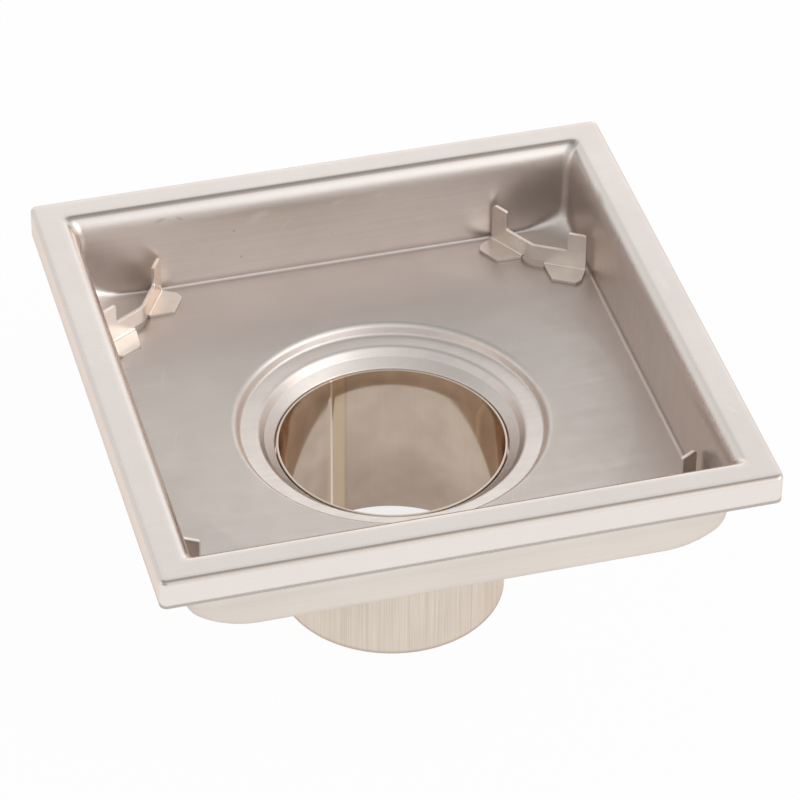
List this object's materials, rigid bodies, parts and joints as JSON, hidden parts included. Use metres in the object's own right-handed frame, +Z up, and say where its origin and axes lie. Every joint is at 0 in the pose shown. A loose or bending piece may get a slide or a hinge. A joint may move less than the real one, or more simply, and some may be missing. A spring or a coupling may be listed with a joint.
{
  "type": "square floor drain body",
  "caption": "Square drawn steel floor drain body with turned-down flange, stepped round recess, welded outlet tube and upright corner supports for a cover tray.",
  "frame": {"origin": "centre of the outlet tube's lower end", "axes": "+Z up along the tube's axis, +X and +Y square to the sides of the flange"},
  "size_m": [0.13, 0.13, 0.0678],
  "materials": {
    "pan_steel": "satin drawn stainless sheet, fine straight grain",
    "tube_steel": "bright inside, fine lengthwise grain outside, straw-coloured weld seam",
    "bracket_steel": "plain cold-rolled strip, punched edges"
  },
  "bodies": {
    "root": {"drain_pan": "pan_steel", "outlet_tube": "tube_steel", "bracket_back_right": "bracket_steel", "bracket_back_left": "bracket_steel", "bracket_front_left": "bracket_steel", "bracket_front_right": "bracket_steel"}
  },
  "joints": []
}
